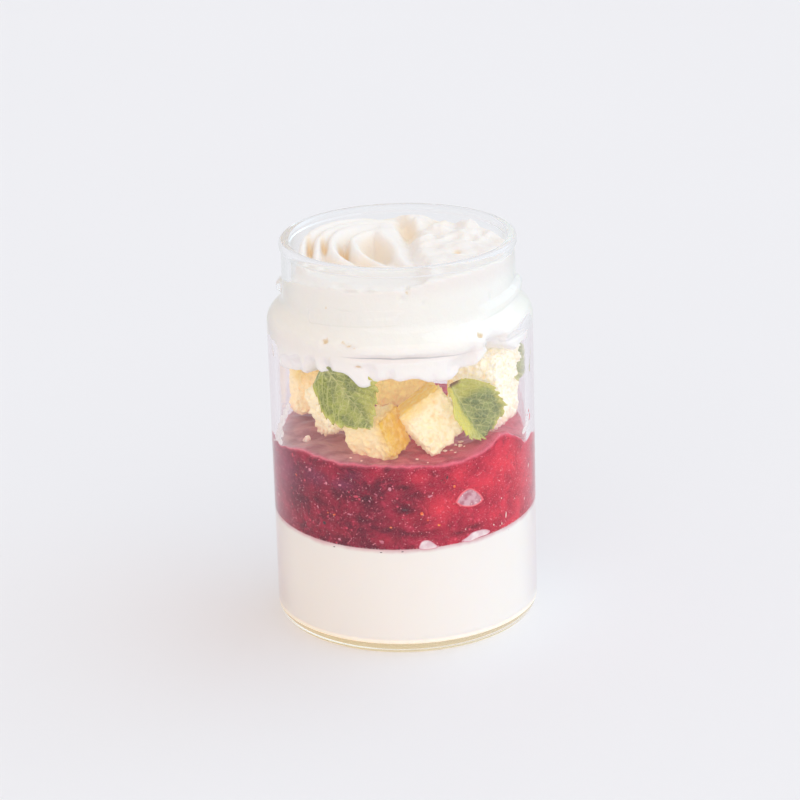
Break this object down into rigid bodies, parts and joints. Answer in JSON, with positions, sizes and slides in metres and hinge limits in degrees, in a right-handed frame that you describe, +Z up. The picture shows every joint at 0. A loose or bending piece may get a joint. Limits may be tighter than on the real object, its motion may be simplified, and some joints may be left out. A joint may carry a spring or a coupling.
{
  "type": "panna cotta pot",
  "caption": "Open glass jar of layered dessert: set cream, berry compote, loose sponge cubes with mint leaves, and piped whipped cream.",
  "frame": {"origin": "centre of the circle that the jar stands on", "axes": "+Z up through the mouth, -Y towards the side that shows the sponge cubes and leaves, +X to that side's right"},
  "size_m": [0.076, 0.076, 0.1137],
  "materials": {
    "clear_glass": "smooth and polished",
    "set_cream": "set cream, smooth and slightly moist",
    "compote": "berry compote, wet, with seeds and bubbles",
    "whipped_cream": "whipped cream, soft and matt",
    "sponge": "sponge crumb with golden crust, matt and porous",
    "mint": "fresh leaf, satin, veined"
  },
  "bodies": {
    "root": {"jar": "clear_glass", "panna_cotta": "set_cream", "berry_compote": "compote", "whipped_cream": "whipped_cream", "sponge_cube_1": "sponge", "sponge_cube_2": "sponge", "sponge_cube_3": "sponge", "sponge_cube_4": "sponge", "sponge_cube_5": "sponge", "sponge_cube_6": "sponge", "mint_leaf_1": "mint", "mint_leaf_2": "mint", "mint_leaf_3": "mint"}
  },
  "joints": []
}
